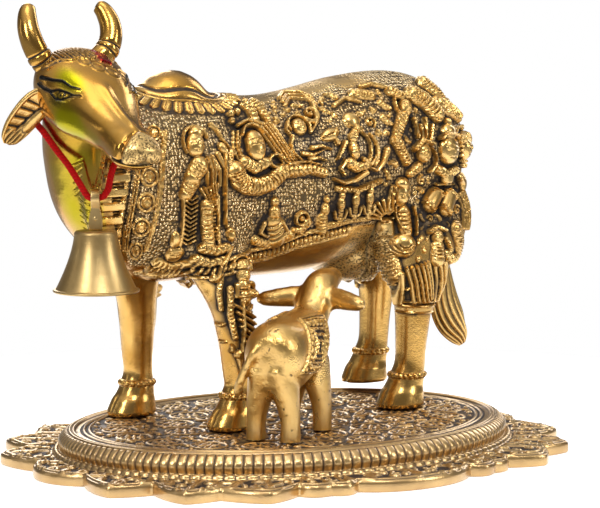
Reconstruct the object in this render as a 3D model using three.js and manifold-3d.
// Kamdhenu: a cast brass cow suckling her calf on an oval base, with a bell on a red cord round her neck.
// Millimetres, +Z up. The origin is the middle of the base's underside. The cow faces -X, and her head is
// turned to her left, towards -Y.
import * as THREE from "three";
import { mergeVertices } from "three/addons/utils/BufferGeometryUtils.js";
import Module from "manifold-3d";

const wasm = await Module();
wasm.setup();

// Base: a raised oval with a ribbed side, on a thinner flange with a petalled outline
const OVAL_LENGTH = 208;
const OVAL_WIDTH = 160;
const BASE_HEIGHT = 15;
const FLANGE_THICKNESS = 5.6;
const RIB_COUNT = 150;
const RIB_DEPTH = 0.8;
const SIDE_LEAN = 1.6;
const BEAD_WIDTH = 5;
const BEAD_HEIGHT = 1.6;
const PETAL_COLUMNS = 4;

// Petals of one quarter, from the end of the oval (0 degrees) to its side (90 degrees): where a petal ends,
// where its tip is, how far the tip and the notch after it stand out from the oval, and how round it is
const PETALS = [
  { tip: 0, end: 12, reach: 20.5, notch: 13.5, roundness: 2 },
  { tip: 25, end: 32.5, reach: 27, notch: 16, roundness: 1.3 },
  { tip: 42, end: 48, reach: 31, notch: 22.5, roundness: 1.3 },
  { tip: 57.5, end: 63.5, reach: 30, notch: 17.5, roundness: 1.4 },
  { tip: 67.2, end: 70, reach: 21.5, notch: 20, roundness: 2 },
  { tip: 72.8, end: 76, reach: 21.5, notch: 16.5, roundness: 2 },
  { tip: 90, end: 104, reach: 24, notch: 16.5, roundness: 2.4 },
];

// Cow: she is drawn 183 tall from hooves to horn tips, and all her rows grow with COW_HEIGHT
const COW_HEIGHT = 183;
const COW_MIDDLE_Y = 22;
const cowShare = COW_HEIGHT / 183;
const BODY_COLUMNS = 16;
const LEG_COLUMNS = 8;

// Calf: drawn 67 tall, and its rows grow with CALF_HEIGHT
const CALF_HEIGHT = 67;
const CALF_X = -21.5;
const CALF_Y = -35;
const CALF_TURN = 30;
const calfShare = CALF_HEIGHT / 67;

// Bell and cord
const BELL_HEIGHT = 25.5;
const BELL_MOUTH = 36;
const BELL_CROWN = 18;
const BELL_WALL = 1.3;
const BELL_LIP = 1.2;
const BELL_FLARE = 1.5;
const BELL_SIDES = 18;
const HOOK_HEIGHT = 17;
const HOOK_FOOT = 5.6;
const HOOK_TOP = 3.6;
const HOOK_THICKNESS = 1.4;
const HOOK_PLAY = 0.7;
const HOOK_TURN = 55;
const HOOK_SEGMENTS = 8;
const RIVET_HOLE = 1.4;
const CORD_DIAMETER = 2.9;
const CORD_SIDES = 8;
const CORD_STEPS = 32;

// Touching pieces keep this much air between them
const GAP = 0.3;
const FLOOR = BASE_HEIGHT + GAP;

const degrees = (angle) => (angle * Math.PI) / 180;
const vector = (x, y, z) => new THREE.Vector3(x, y, z);

// Closed geometry to solid and back
function solid(geometry) {
  const bare = geometry.clone();
  bare.deleteAttribute("normal");
  bare.deleteAttribute("uv");
  const merged = mergeVertices(bare, 1e-4);
  const vertProperties = new Float32Array(merged.attributes.position.array);
  const triVerts = new Uint32Array(merged.index.array);
  return new wasm.Manifold(new wasm.Mesh({ numProp: 3, vertProperties, triVerts }));
}

function geometryOf(manifold) {
  const mesh = manifold.getMesh();
  const geometry = new THREE.BufferGeometry();
  geometry.setAttribute("position", new THREE.BufferAttribute(new Float32Array(mesh.vertProperties), 3));
  geometry.setIndex([...mesh.triVerts]);
  geometry.computeVertexNormals();
  return geometry;
}

function join(solids) {
  return solids.reduce((whole, next) => whole.add(next));
}

// Cuts a leg or an animal off flat at its soles
function aboveFloor(animal, soleZ = 0) {
  const room = 4 * COW_HEIGHT;
  return animal.intersect(solid(new THREE.BoxGeometry(room, room, room).translate(0, 0, soleZ + room / 2)));
}

// Smooth value between the rows of a table: a curve through all rows, which stops level at both ends
function between(rows, place) {
  const last = rows.length - 1;
  const row = Math.min(Math.floor(place), last - 1);
  const t = place - row;
  const [a, b, c, d] = [-1, 0, 1, 2].map((step) => rows[Math.min(Math.max(row + step, 0), last)]);
  return b.map((_, i) => {
    const bend = 2 * a[i] - 5 * b[i] + 4 * c[i] - d[i];
    const sway = 3 * b[i] - a[i] - 3 * c[i] + d[i];
    return b[i] + 0.5 * t * (c[i] - a[i] + t * (bend + t * sway));
  });
}

// A closed skin through rings of points: the rings in order, each with the same number of points
function skin(rings) {
  const columns = rings[0].length;
  const middle = (ring) => ring.reduce((sum, p) => sum.add(p), vector(0, 0, 0)).divideScalar(columns);
  const points = [...rings.flat(), middle(rings[0]), middle(rings.at(-1))];
  const faces = [];
  for (let j = 0; j < columns; j++) {
    const next = (j + 1) % columns;
    for (let i = 0; i + 1 < rings.length; i++) {
      const [a, b] = [i * columns + j, i * columns + next];
      faces.push(a, b, b + columns, a, b + columns, a + columns);
    }
    const top = (rings.length - 1) * columns;
    faces.push(points.length - 2, next, j, points.length - 1, top + j, top + next);
  }
  const geometry = new THREE.BufferGeometry().setFromPoints(points);
  geometry.setIndex(faces);
  return geometry;
}

// A limb: rings carried along a path. A row is [x, y, z, side, up, down]: the middle of the ring and its
// reach to the two sides, up and down. `across` is the direction of the sides, and up is square to it.
// `box` is 2 for an oval ring and more for a squarer one.
function limb(rows, across, columns, steps, box = 2) {
  const count = (rows.length - 1) * steps;
  const rings = [];
  for (let i = 0; i <= count; i++) {
    const place = i / steps;
    const [x, y, z, side, up, down] = between(rows, place);
    const before = between(rows, Math.max(place - 0.1, 0));
    const after = between(rows, Math.min(place + 0.1, rows.length - 1));
    const along = vector(after[0] - before[0], after[1] - before[1], after[2] - before[2]).normalize();
    const sideways = across.clone().addScaledVector(along, -across.dot(along)).normalize();
    const upwards = along.clone().cross(sideways);
    const ring = [];
    for (let j = 0; j < columns; j++) {
      const angle = (2 * Math.PI * j) / columns;
      const [c, s] = [Math.cos(angle), Math.sin(angle)];
      const a = side * Math.sign(c) * Math.abs(c) ** (2 / box);
      const b = (s > 0 ? up : down) * Math.sign(s) * Math.abs(s) ** (2 / box);
      ring.push(vector(x, y, z).addScaledVector(sideways, a).addScaledVector(upwards, b));
    }
    rings.push(ring);
  }
  return skin(rings);
}

// An egg-shaped boss
function boss(x, y, z, rx, ry, rz, columns = 8, rows = 6) {
  return new THREE.SphereGeometry(1, columns, rows).scale(rx, ry, rz).translate(x, y, z);
}

// Base
const quarterPetal = (angle) => {
  let start = -PETALS[0].end;
  let notchBefore = PETALS[0].notch;
  for (const petal of PETALS) {
    if (angle <= petal.end) return { petal, start, notchBefore };
    start = petal.end;
    notchBefore = petal.notch;
  }
};

// How far the outline stands out from the oval at an angle in degrees
function petalReach(angle) {
  const folded = Math.abs(((angle + 180 + 720) % 360) - 180);
  const quarter = folded > 90 ? 180 - folded : folded;
  const { petal, start, notchBefore } = quarterPetal(quarter);
  const rising = quarter < petal.tip;
  const span = rising ? petal.tip - start : petal.end - petal.tip;
  const away = Math.abs(quarter - petal.tip) / span;
  const notch = rising ? notchBefore : petal.notch;
  return petal.reach + (notch - petal.reach) * away ** petal.roundness;
}

// Angles of the outline's columns: every petal gets the same number
function petalAngles() {
  const quarter = [0];
  let start = 0;
  for (const petal of PETALS) {
    const stops = [start, petal.tip, Math.min(petal.end, 90)];
    for (const [from, to] of [[stops[0], stops[1]], [stops[1], stops[2]]]) {
      const steps = to - from > 4 ? PETAL_COLUMNS / 2 : 2;
      for (let i = 1; i <= steps && to > from; i++) quarter.push(from + ((to - from) * i) / steps);
    }
    start = petal.end;
  }
  const half = [...quarter, ...quarter.slice(0, -1).reverse().map((angle) => 180 - angle)];
  return [...half, ...half.slice(1, -1).reverse().map((angle) => 360 - angle)];
}

const ovalPoint = (angle, out, z) => {
  const turn = degrees(angle);
  return vector((OVAL_LENGTH / 2 + out) * Math.cos(turn), (OVAL_WIDTH / 2 + out) * Math.sin(turn), z);
};

function flange() {
  const angles = petalAngles();
  const ring = (out, z) => angles.map((angle) => ovalPoint(angle, out, z));
  const petalRing = (z) => angles.map((angle) => ovalPoint(angle, petalReach(angle), z));
  return skin([
    petalRing(0),
    petalRing(FLANGE_THICKNESS),
    ring(BEAD_WIDTH, FLANGE_THICKNESS),
    ring(BEAD_WIDTH / 2, FLANGE_THICKNESS + BEAD_HEIGHT),
  ]);
}

function ribbedOval() {
  const angles = Array.from({ length: 2 * RIB_COUNT }, (_, i) => (180 * i) / RIB_COUNT);
  const ring = (out, z) => angles.map((angle, i) => ovalPoint(angle, out - (i % 2) * RIB_DEPTH, z));
  return skin([ring(SIDE_LEAN, FLANGE_THICKNESS / 2), ring(0, BASE_HEIGHT)]);
}

const base = solid(flange()).add(solid(ribbedOval()));

// Cow. Her rows give x along the base, y from her own middle plane (her left is minus) and z from her soles.
const LEFT = vector(0, -1, 0);
const RIGHT = vector(0, 1, 0);

const TRUNK = [
  [-91, 0, 93, 3, 5, 6],
  [-87, 0, 94, 14, 21, 19],
  [-80, 0, 98, 21, 30, 29],
  [-68, 0, 102, 27, 39, 40],
  [-50, 0, 104, 30, 42, 42],
  [-25, 0, 105, 31, 38, 43],
  [0, 0, 105, 31.5, 37, 43.5],
  [25, 0, 106, 31.5, 39.5, 43],
  [48, 0, 109, 31, 41, 39],
  [70, 0, 113, 30, 39, 35],
  [85, 0, 113, 28, 34.5, 34],
  [97, 0, 112, 22, 27, 28],
  [104, 0, 111, 15, 19, 20],
  [108, 0, 110, 4, 5, 6],
];

const NECK = [
  [-44, 0, 90, 22, 22, 22],
  [-60, 0, 92, 26, 30, 26],
  [-75, 0, 103, 27, 27, 26],
  [-86, -3, 120, 23, 21, 22],
  [-95, -9, 136, 18, 15, 17],
  [-101, -14, 149, 14, 12, 13],
  [-103, -16, 158, 8, 7, 8],
];

// Head: rows along its own axis from the poll to the nose, [distance, shift to its left, side, up, down]
const POLL = vector(-100.4, -8, 152);
const NOSE_WAY = vector(0, -0.885, -0.465).normalize();
const HEAD_LEFT = vector(1, 0, 0);
const BROW_WAY = NOSE_WAY.clone().cross(HEAD_LEFT).normalize();
const HEAD = [
  [-10, 0.5, 9, 5.5, 8],
  [-6, 1, 15, 9.5, 12],
  [2, 1.5, 19.5, 12.5, 16],
  [12, 2, 20.8, 12.5, 18],
  [22, 1.8, 19, 11.5, 17],
  [34, 0.8, 14, 8.5, 14],
  [46, -0.2, 10.4, 7, 11],
  [55, -0.6, 10.2, 7.1, 9.5],
  [61.5, -0.6, 10.2, 6.7, 8.5],
  [66.5, -0.6, 7.8, 4, 5.5],
  [67.5, -0.6, 4, 2, 2.5],
];
const headRows = HEAD.map(([way, shift, ...sizes]) => [
  ...POLL.clone().addScaledVector(NOSE_WAY, way).addScaledVector(HEAD_LEFT, shift), ...sizes,
]);

// A point of the head: along the nose, to its left and up out of the brow
const headPoint = (way, left, up) => POLL.clone()
  .addScaledVector(NOSE_WAY, way).addScaledVector(HEAD_LEFT, left).addScaledVector(BROW_WAY, up);

// Horn rows: [left, back, up, radius] from the middle of the skull's crown, for both sides. Her left horn
// springs from a place that is higher by HORN_LIFT.
const CROWN = headPoint(-2, 1.5, 8);
const HORN_LIFT = 4;
const HORN = [
  [8, 2, -8, 4.6],
  [12.5, 1, -4, 5.2],
  [16.3, 1, 0.5, 5],
  [18.8, 2.2, 6, 4.8],
  [19.6, 4.4, 12, 4.5],
  [18.6, 7, 17.4, 3.9],
  [16.9, 9, 20.6, 3],
  [16.2, 9.6, 21.8, 1.4],
];
const hornRows = (side) => HORN.map(([left, back, up, radius], i) => {
  const lift = side > 0 ? HORN_LIFT * (1 - i / (HORN.length - 1)) : 0;
  return [CROWN.x + left * side, CROWN.y + back, CROWN.z + up + lift, radius, radius, radius];
});

// Ear rows: [outwards, back, down, half width, half thickness], from the ear's root behind the eye
const EAR_ROOT = headPoint(7, 0, -6);
const EAR = [
  [13, -1, 0, 6, 2],
  [16.5, 1, 2, 7, 1.6],
  [20, 3.5, 6.5, 7.2, 1.4],
  [24, 6, 12.4, 6.4, 1.2],
  [26.8, 7.5, 17, 4.4, 1],
  [27.8, 8, 18.8, 1.6, 0.6],
];
const earRows = (side) => EAR.map(([out, back, down, width, thickness]) => [
  EAR_ROOT.x + out * side, EAR_ROOT.y + back, EAR_ROOT.z - down, width, thickness, thickness,
]);

// Legs: rows from the body down past the sole, which is cut flat, [z, back, inwards, half length, half width].
// `stride` is how far a hind foot trails its thigh, and `lift` is how high its sole is off the base.
const FRONT_LEG = [
  [100, -10, 16, 18, 8],
  [84, -9, 11, 18, 10],
  [70, -6, 7, 14, 9.8],
  [56, -3, 3.5, 10, 8.6],
  [44, -1.5, 1.5, 8.4, 7.9],
  [24, -0.5, 0, 7, 6.6],
  [16, 0, 0, 6.8, 6.4],
  [13, -0.5, 0, 8.2, 7.8],
  [10.5, -1, 0, 8, 7.6],
  [5, -2.5, 0, 9.8, 8.6],
  [0, -3.5, 0, 11.3, 9.3],
  [-5, -4.5, 0, 12, 9.6],
];
const HIND_LEG = [
  [104, 16, 16, 24, 10],
  [88, 14, 9, 26, 14],
  [72, 10, 4, 21, 13],
  [58, 7, 1.5, 14.5, 10.5],
  [48, 6, 0.5, 9.6, 8.4],
  [32, 4.5, 0, 7.6, 7.2],
  [17, 3.5, 0, 7.2, 6.8],
  [13.5, 2.5, 0, 8.4, 7.8],
  [11, 1.5, 0, 8.2, 7.6],
  [5, -0.5, 0, 10, 8.6],
  [0, -1.5, 0, 11.3, 9.3],
  [-5, -2.5, 0, 12, 9.6],
];
const FEET = {
  frontLeft: { rows: FRONT_LEG, x: -31, y: -31, lift: 0, stride: 0 },
  frontRight: { rows: FRONT_LEG, x: -47.5, y: 25.5, lift: 0, stride: 0 },
  hindLeft: { rows: HIND_LEG, x: 62, y: -26, lift: 0, stride: 0 },
  hindRight: { rows: HIND_LEG, x: 80, y: 26, lift: 3.5, stride: 12 },
};
const HOCK_Z = 45;
const legRows = ({ rows, x, y, lift, stride }) => rows.map(([z, back, inwards, length, width]) => [
  x + back - stride * Math.max(z / HOCK_Z - 1, 0), y - Math.sign(y) * inwards, z + lift, width, length, length,
]);

const TAIL = [
  [98, 0, 134, 3, 3, 3],
  [106, -2, 124, 4.5, 4.5, 4.5],
  [106, -5, 106, 4.5, 4.5, 4.5],
  [101, -8, 88, 4.4, 4.4, 4.4],
  [96, -10, 72, 4.4, 4.4, 4.4],
  [94, -11, 56, 4, 4, 4],
];
const TUFT = [
  [94, -11, 70, 2.5, 3, 3],
  [94, -12, 58, 3.6, 5.4, 5.4],
  [95.5, -12, 46, 4.4, 7.6, 7.6],
  [99.5, -12.5, 35, 4.2, 7.8, 7.8],
  [104.5, -13, 27, 2.8, 4.8, 4.8],
  [106.5, -13, 23.5, 1, 1.8, 1.8],
];

// The dewlap's crest, down the side of the neck that faces the same way as the head
const DEWLAP = [
  [-97, -20, 134, 2, 3, 3],
  [-97, -21, 118, 4, 5, 6],
  [-94, -19, 100, 5, 7, 7],
  [-88, -15, 84, 4, 6, 6],
  [-80, -11, 72, 2, 2, 2],
];

const grow = (rows) => rows.map((row) => row.map((value) => value * cowShare));
const cowLimb = (rows, across, columns, steps, box) => solid(limb(grow(rows), across, columns, steps, box));
const cowBoss = (...sizes) => solid(boss(...sizes.slice(0, 6).map((value) => value * cowShare), ...sizes.slice(6)));

const cowParts = [
  cowLimb(TRUNK, RIGHT, BODY_COLUMNS, 1, 2.15),
  cowLimb(NECK, LEFT, 12, 1),
  cowLimb(headRows, HEAD_LEFT, 12, 1, 2.1),
  ...[-1, 1].map((side) => cowLimb(hornRows(side), RIGHT, 8, 1)),
  ...[-1, 1].map((side) => cowLimb(earRows(side), vector(side, -0.3, 1), 8, 1)),
  ...Object.values(FEET).map((foot) => aboveFloor(
    cowLimb(legRows(foot), RIGHT, LEG_COLUMNS, 1, 2.2), foot.lift * cowShare)),
  cowLimb(TAIL, RIGHT, 7, 1),
  cowLimb(TUFT, RIGHT, 8, 1),
  cowLimb(DEWLAP, LEFT, 7, 1),
  cowBoss(-46, 0, 134, 18.5, 17, 19.5, 10, 7),
  cowBoss(-56, 0, 131, 17, 15, 17, 8, 5),
  cowBoss(48, 0, 70.5, 20, 16, 15, 8, 5),
];
const bareCow = join(cowParts);

// Relief. A place on her hide is found by looking square at her from outside: x and z are where to look, and
// `turn` is how far round from her left side towards her tail to stand (180 is her right side).
const target = new THREE.Mesh(geometryOf(bareCow), new THREE.MeshBasicMaterial({ side: THREE.DoubleSide }));
const eye = new THREE.Raycaster();
function onHide(x, z, turn = 0) {
  const out = vector(Math.sin(degrees(turn)), -Math.cos(degrees(turn)), 0);
  const aim = vector(x, 0, z).multiplyScalar(cowShare);
  eye.set(aim.clone().addScaledVector(out, COW_HEIGHT), out.clone().negate());
  const [hit] = eye.intersectObject(target);
  const normal = hit.face.normal.clone();
  const across = vector(0, 0, 1).cross(normal).normalize();
  const place = new THREE.Matrix4().makeBasis(across, normal.clone().cross(across), normal);
  return { point: hit.point, normal, place: place.setPosition(hit.point) };
}

// A relief piece is drawn flat, x across, y up and z out of the hide, in shares of its own height. Its rows
// go up from its foot: [y, half width, how far it stands out].
function upright(rows) {
  return [limb(rows.map(([y, half, out]) => [0, y, 0, half, out, out]), vector(1, 0, 0), 6, 1)];
}

const egg = (x, y, rx, ry, rz, z = 0) => boss(x, y, z, rx, ry, rz, 6, 3);
const standing = () => upright([
  [0, 0.17, 0.08],
  [0.46, 0.13, 0.1],
  [0.66, 0.19, 0.12],
  [0.76, 0.06, 0.09],
  [0.85, 0.11, 0.14],
  [1, 0.03, 0.04],
]);
const seated = () => upright([
  [0, 0.3, 0.08],
  [0.12, 0.42, 0.16],
  [0.27, 0.2, 0.13],
  [0.5, 0.22, 0.14],
  [0.61, 0.07, 0.1],
  [0.72, 0.15, 0.17],
  [1, 0.04, 0.05],
]);
const bust = () => upright([
  [0, 0.4, 0.14],
  [0.34, 0.22, 0.16],
  [0.65, 0.34, 0.3],
  [1, 0.1, 0.08],
]);
const drum = () => [egg(0, 0.5, 0.55, 0.4, 0.35)];
const block = () => [egg(0, 0.5, 0.5, 0.6, 0.3)];

// Where each relief piece stands: x, z of its foot, height, turn, and how far it leans to its right
const NEAR_RELIEF = [
  [standing, -51, 76, 50, 0, 0],
  [standing, -34, 97, 29, 0, 6],
  [seated, -20, 104, 36, 0, 0],
  [seated, 31, 103, 27, 0, 0],
  [seated, -11, 84, 19, 0, 0],
  [seated, 3, 85, 18, 0, 0],
  ...[17, 24, 31, 38].map((x) => [bust, x, 88, 11, 0, 0]),
  [standing, 60, 104, 37, 0, 0],
  [bust, 80, 108, 20, 25, 0],
  [standing, 96, 90, 36, 60, -8],
  [standing, 57, 64, 37, 0, 0],
  [drum, 72, 88, 12, 20, 0],
  [block, 46, 82, 12, 0, 0],
  [standing, -32, 34, 40, 0, 0],
  [standing, 71, 56, 30, 20, -10],
];
const FAR_RELIEF = [
  [seated, -22, 100, 38, 180, 0],
  [standing, 62, 96, 42, 180, 0],
];

function relief([kind, x, z, height, turn, lean]) {
  const size = height * cowShare;
  const { place } = onHide(x, z + height / 2, turn);
  return kind().map((geometry) => solid(geometry
    .translate(0, -0.5, 0).rotateZ(-degrees(lean)).scale(size, size, size).applyMatrix4(place)));
}

// A raised band laid on the hide along a row of places, each [x, z]
function band(places, turn, thick) {
  const radius = thick * cowShare;
  const rows = places.map(([x, z]) => [...onHide(x, z, turn).point, radius, radius, radius]);
  return solid(limb(rows, vector(0, 1, 0), 5, 1));
}

const HEM = [[-58, 67], [-44, 68], [-22, 73], [2, 76], [25, 78], [44, 81]];
const COLLAR = [[-72, 128], [-73, 118], [-74, 106], [-76, 92], [-79, 80]];

const cow = join([
  bareCow,
  ...[...NEAR_RELIEF, ...FAR_RELIEF].flatMap(relief),
  band(HEM, 0, 1.6),
  band(COLLAR, 0, 1),
]);

// Calf, in its own frame: x forwards, y to its left, z from its soles
const CALF_TRUNK = [
  [-26, 0, 31, 3, 4, 5],
  [-23.5, 0, 31.5, 10, 12, 14],
  [-15, 0, 34, 13.5, 16, 16.5],
  [0, 0, 37, 12.5, 14, 16],
  [12, 0, 40, 11, 13, 15.5],
  [20, 0, 42, 8, 11, 13],
  [25, 0, 43, 3, 5, 6],
];
const CALF_NECK = [
  [10, 0, 42, 8.5, 9, 9],
  [19, 0, 48, 8, 8, 8],
  [24, 0, 54, 7.6, 7.2, 7.2],
  [28.5, 0, 59, 7.4, 7.4, 7],
  [33.5, 0, 61.5, 6.8, 6.2, 6.4],
  [39, 0, 62.5, 5.2, 4.6, 5],
  [43.5, 0, 63.5, 4.6, 3.8, 4.2],
  [45.5, 0, 64, 2.2, 1.6, 2],
];
const CALF_EAR = [
  [26, 4, 55, 3.6, 4.6, 4.6],
  [25, 10, 55.5, 3.8, 4.8, 4.8],
  [22, 17, 55, 3.6, 4.2, 4.2],
  [19.5, 23, 54.5, 2.8, 3.2, 3.2],
  [18.6, 26, 54.5, 1.2, 1.4, 1.4],
];
const CALF_TAIL = [
  [-23, 2, 42, 1.6, 1.8, 1.8],
  [-27.5, 4.5, 38, 1.8, 2, 2],
  [-28.5, 8, 31, 1.7, 1.8, 1.8],
  [-28, 11, 24, 2, 2.2, 2.2],
  [-27, 12.5, 18.5, 1.4, 1.5, 1.5],
];
const CALF_LEG = [
  [30, 0, 4, 6.5, 9],
  [20, 0, 2, 5.6, 6.6],
  [12, 0, 0.5, 4.6, 5],
  [6, 0, 0, 4.2, 4.5],
  [-2, 0, 0, 4.5, 5],
];
const CALF_FEET = [
  [-18, 8],
  [-18, -8],
  [15, 7.5],
  [15, -7.5],
];
const calfLegRows = ([x, y]) => CALF_LEG.map(([z, back, inwards, width, length]) => [
  x - back, y - Math.sign(y) * inwards, z, width, length, length,
]);
const mirrored = (rows) => rows.map(([x, y, ...rest]) => [x, -y, ...rest]);
const calfLimb = (rows, across, columns, steps, box) => solid(
  limb(rows.map((row) => row.map((value) => value * calfShare)), across, columns, steps, box));

const calf = aboveFloor(join([
  calfLimb(CALF_TRUNK, RIGHT, 10, 1, 2.2),
  calfLimb(CALF_NECK, RIGHT, 8, 1),
  calfLimb(CALF_EAR, vector(1, 0, 0), 6, 1),
  calfLimb(mirrored(CALF_EAR), vector(1, 0, 0), 6, 1),
  calfLimb(CALF_TAIL, vector(1, 0, 0), 5, 1),
  ...CALF_FEET.map((foot) => calfLimb(calfLegRows(foot), RIGHT, 6, 1)),
]));

// Cord: a closed loop that hangs round her neck, from its lowest point up her right side and back. Its points
// are in her own frame.
const CORD_ROUTE = [
  [-102.5, -32, 103.1],
  [-100, -33.7, 103.3],
  [-97.3, -33, 105.7],
  [-95.2, -31, 108.7],
  [-92.5, -28.6, 113.2],
  [-89.7, -27.3, 116.7],
  [-85.8, -27.8, 119.5],
  [-82.8, -27.2, 121.6],
  [-79, -26.2, 124.5],
  [-76.7, -23.6, 127.7],
  [-74.8, -20.4, 131.9],
  [-74, -16.4, 136.5],
  [-72.9, -12.8, 141.5],
  [-75, -7.6, 146.4],
  [-81.2, -2, 145.6],
  [-85.9, 3.2, 146.9],
  [-92.3, 7.6, 146.7],
  [-99.5, 9.2, 143.7],
  [-105.6, 8.2, 138.9],
  [-109.6, 4.6, 134.7],
  [-112, -0.6, 132.1],
  [-112.4, -6.6, 129.1],
  [-110.2, -12.8, 122.3],
  [-107.8, -19, 115.7],
  [-106.4, -25.6, 108.7],
  [-105, -30.3, 103.3],
];
const cordPoints = grow(CORD_ROUTE).map((point) => vector(...point));
const cordLow = cordPoints[0].clone().add(vector(0, COW_MIDDLE_Y, FLOOR));
const cord = new THREE.TubeGeometry(
  new THREE.CatmullRomCurve3(cordPoints, true), CORD_STEPS, CORD_DIAMETER / 2, CORD_SIDES, true);

// Bell: a turned shell, open below, drawn up from its mouth
const bellSkirt = BELL_MOUTH / 2 - BELL_LIP;
const bellRadius = (height) => BELL_CROWN / 2 + (bellSkirt - BELL_CROWN / 2) * (1 - height) ** BELL_FLARE;
const bellWall = [0, 0.2, 0.45, 1];

function bellShell() {
  const outside = bellWall.map((height) => [bellRadius(height), BELL_LIP + (BELL_HEIGHT - BELL_LIP) * height]);
  const inside = outside.map(([r, z]) => [r - BELL_WALL, Math.min(z, BELL_HEIGHT - BELL_WALL)]);
  const profile = [
    [BELL_MOUTH / 2, 0],
    [BELL_MOUTH / 2, BELL_LIP],
    ...outside,
    [0, BELL_HEIGHT],
    [0, BELL_HEIGHT - BELL_WALL],
    ...inside.reverse(),
    [bellSkirt - BELL_WALL, 0],
    [BELL_MOUTH / 2, 0],
  ];
  const points = profile.map(([r, z]) => new THREE.Vector2(r, z));
  return new THREE.LatheGeometry(points, BELL_SIDES).rotateX(Math.PI / 2);
}

// Hook: a strap folded over the cord, riveted together under it. Its eye looks along its own y, its origin is
// the middle of its foot, and seen from the front it narrows upwards.
const eyeRadius = CORD_DIAMETER / 2 + HOOK_PLAY;
const PINCH = 1.2; // how far under the eye's middle the strap's two sides meet, in halves of the hook
const hookHalf = eyeRadius + HOOK_THICKNESS;
const eyeHeight = HOOK_HEIGHT - hookHalf;

function hookStrap() {
  const shoulder = eyeHeight - PINCH * hookHalf;
  const cutDepth = 4 * hookHalf;
  const side = new THREE.Shape();
  side.moveTo(-HOOK_THICKNESS, 0).lineTo(HOOK_THICKNESS, 0).lineTo(HOOK_THICKNESS, shoulder);
  side.lineTo(hookHalf, eyeHeight).absarc(0, eyeHeight, hookHalf, 0, Math.PI, false);
  side.lineTo(-HOOK_THICKNESS, shoulder);
  side.holes.push(new THREE.Path().absarc(0, eyeHeight, eyeRadius, 0, 2 * Math.PI, true));
  const front = new THREE.Shape();
  front.moveTo(-HOOK_FOOT / 2, 0).lineTo(HOOK_FOOT / 2, 0).lineTo(HOOK_FOOT / 2, shoulder / 2);
  front.lineTo(HOOK_TOP / 2, shoulder).lineTo(HOOK_TOP / 2, HOOK_HEIGHT).lineTo(-HOOK_TOP / 2, HOOK_HEIGHT);
  front.lineTo(-HOOK_TOP / 2, shoulder).lineTo(-HOOK_FOOT / 2, shoulder / 2);
  const upright = (shape, depth, curveSegments) => new THREE.ExtrudeGeometry(
    shape, { depth, bevelEnabled: false, curveSegments }).translate(0, 0, -depth / 2).rotateX(Math.PI / 2);
  const sideOn = solid(upright(side, cutDepth, HOOK_SEGMENTS));
  const frontOn = solid(upright(front, cutDepth, 1).rotateZ(Math.PI / 2));
  const rivetHole = new THREE.CylinderGeometry(RIVET_HOLE / 2, RIVET_HOLE / 2, cutDepth, HOOK_SEGMENTS);
  return sideOn.intersect(frontOn).subtract(solid(rivetHole.rotateZ(Math.PI / 2).translate(0, 0, shoulder / 2)));
}

// Colours
const brass = (colour, roughness) => new THREE.MeshStandardMaterial({ color: colour, roughness, metalness: 1 });
const GOLD = 0xc8963c;
const BASE_GOLD = 0x9a7040;
const SATIN_BRASS = 0xbea05a;
const HOOK_BRASS = 0xc8a05a;
const thread = new THREE.MeshStandardMaterial({ color: 0xdc0a0a, roughness: 0.75 });

function piece(name, manifold, material, x, y, z, turn = 0) {
  const mesh = new THREE.Mesh(geometryOf(manifold), material);
  mesh.name = name;
  mesh.position.set(x, y, z);
  mesh.rotation.z = degrees(turn);
  return mesh;
}

const hookFoot = cordLow.z - eyeHeight;
const bellFoot = hookFoot - GAP - BELL_HEIGHT;
const group = new THREE.Group();
group.add(piece("base", base, brass(BASE_GOLD, 0.4), 0, 0, 0));
group.add(piece("cow", cow, brass(GOLD, 0.3), 0, COW_MIDDLE_Y, FLOOR));
group.add(piece("calf", calf, brass(GOLD, 0.35), CALF_X * cowShare, CALF_Y * cowShare, FLOOR, CALF_TURN));
group.add(piece("bell", solid(bellShell()), brass(SATIN_BRASS, 0.35), cordLow.x, cordLow.y, bellFoot));
group.add(piece("bell_hook", hookStrap(), brass(HOOK_BRASS, 0.35), cordLow.x, cordLow.y, hookFoot, HOOK_TURN));
group.add(piece("neck_cord", solid(cord), thread, 0, COW_MIDDLE_Y, FLOOR));

export default group;
